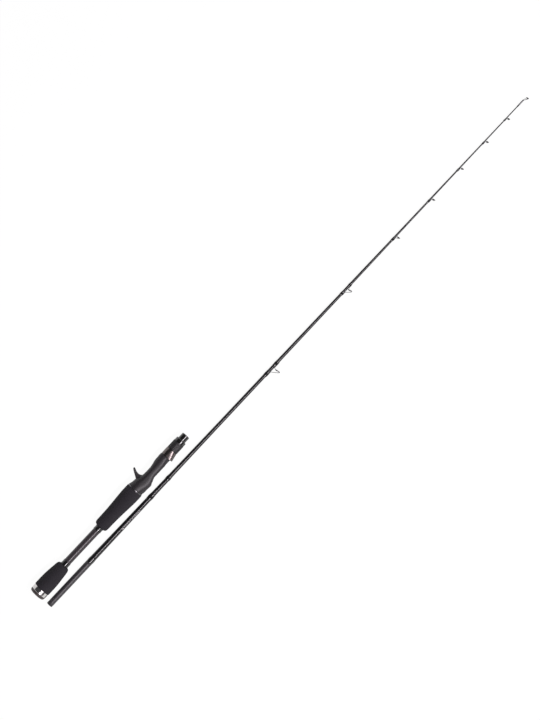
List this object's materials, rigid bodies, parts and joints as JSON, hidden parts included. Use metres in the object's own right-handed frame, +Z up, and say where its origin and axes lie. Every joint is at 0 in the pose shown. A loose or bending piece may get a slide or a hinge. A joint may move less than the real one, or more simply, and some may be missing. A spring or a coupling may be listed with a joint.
{
  "type": "two-piece casting rod",
  "caption": "Casting rod in two pieces laid side by side: trigger handle with screw-down reel seat, and a one-piece blank with line guides and tip-top.",
  "frame": {"origin": "on the table, under the middle of the two pieces as laid out side by side", "axes": "+X along the rods from butt to tip, +Y towards the trigger, +Z up from the table"},
  "size_m": [1.3692, 0.0814, 0.0357],
  "materials": {
    "eva_foam": "matte closed-cell foam",
    "polished_metal": "polished",
    "black_rubber": "matte",
    "satin_carbon": "satin carbon fibre",
    "gloss_carbon": "gloss lacquer over carbon fibre",
    "dark_chrome": "smoked, polished",
    "seat_plastic": "soft satin",
    "inner_plastic": "matte",
    "guide_metal": "dark satin",
    "dark_ceramic": "polished",
    "wrap_epoxy": "thread under gloss epoxy",
    "gloss_black": "gloss"
  },
  "bodies": {
    "handle": {"butt_cap": "black_rubber", "butt_trim_ring": "polished_metal", "butt_grip": "eva_foam", "rear_winding_check": "gloss_black", "handle_tube": "satin_carbon", "fore_winding_check": "gloss_black", "fore_grip": "eva_foam", "seat_trim_ring": "polished_metal", "rear_arbor": "inner_plastic", "front_arbor": "inner_plastic", "reel_seat_body": "seat_plastic", "ferrule_sleeve": "gloss_black"},
    "hood": {"hood_shell": "dark_chrome", "hood_liner": "inner_plastic"},
    "nut": {"lock_nut": "seat_plastic", "nut_band": "gloss_black"},
    "carrier": {"vent_plug": "black_rubber"},
    "blank": {"blank_tube": "gloss_carbon", "ferrule_spigot": "satin_carbon", "spigot_end_cap": "black_rubber", "spigot_collar": "gloss_black", "trim_wrap_1": "wrap_epoxy", "trim_wrap_2": "wrap_epoxy", "guide_frame_1": "guide_metal", "guide_ring_1": "dark_ceramic", "guide_wrap_1": "wrap_epoxy", "guide_frame_2": "guide_metal", "guide_ring_2": "dark_ceramic", "guide_wrap_2": "wrap_epoxy", "guide_frame_3": "guide_metal", "guide_ring_3": "dark_ceramic", "guide_wrap_3": "wrap_epoxy", "guide_frame_4": "guide_metal", "guide_ring_4": "dark_ceramic", "guide_wrap_4": "wrap_epoxy", "guide_frame_5": "guide_metal", "guide_ring_5": "dark_ceramic", "guide_wrap_5": "wrap_epoxy", "guide_frame_6": "guide_metal", "guide_ring_6": "dark_ceramic", "guide_wrap_6": "wrap_epoxy", "guide_frame_7": "guide_metal", "guide_ring_7": "dark_ceramic", "guide_wrap_7": "wrap_epoxy", "tip_top_frame": "guide_metal", "tip_top_ring": "dark_ceramic", "tip_wrap": "wrap_epoxy"}
  },
  "joints": [
    {"name": "hood_slide", "type": "slide", "parent": "handle", "child": "hood", "axis": [1, 0, 0], "range_m": [0, 0.012]},
    {"name": "nut_spin", "type": "hinge", "parent": "hood", "child": "nut", "pos_m": [-0.29678, 0.00895, 0.01786], "axis": [-1, 0, 0], "range_deg": [0, 2160]},
    {"name": "blank_carry", "type": "slide", "parent": "handle", "child": "carrier", "axis": [0.9994, 0.0333, 0.0114], "range_m": [0, 0.96059]},
    {"name": "spigot_plug_in", "type": "slide", "parent": "carrier", "child": "blank", "axis": [-1, 0, 0], "range_m": [0, 0.6473]}
  ],
  "couplings": [
    {"joint": "hood_slide", "follows": "nut_spin", "m_per_rad": 0.00031831}
  ]
}
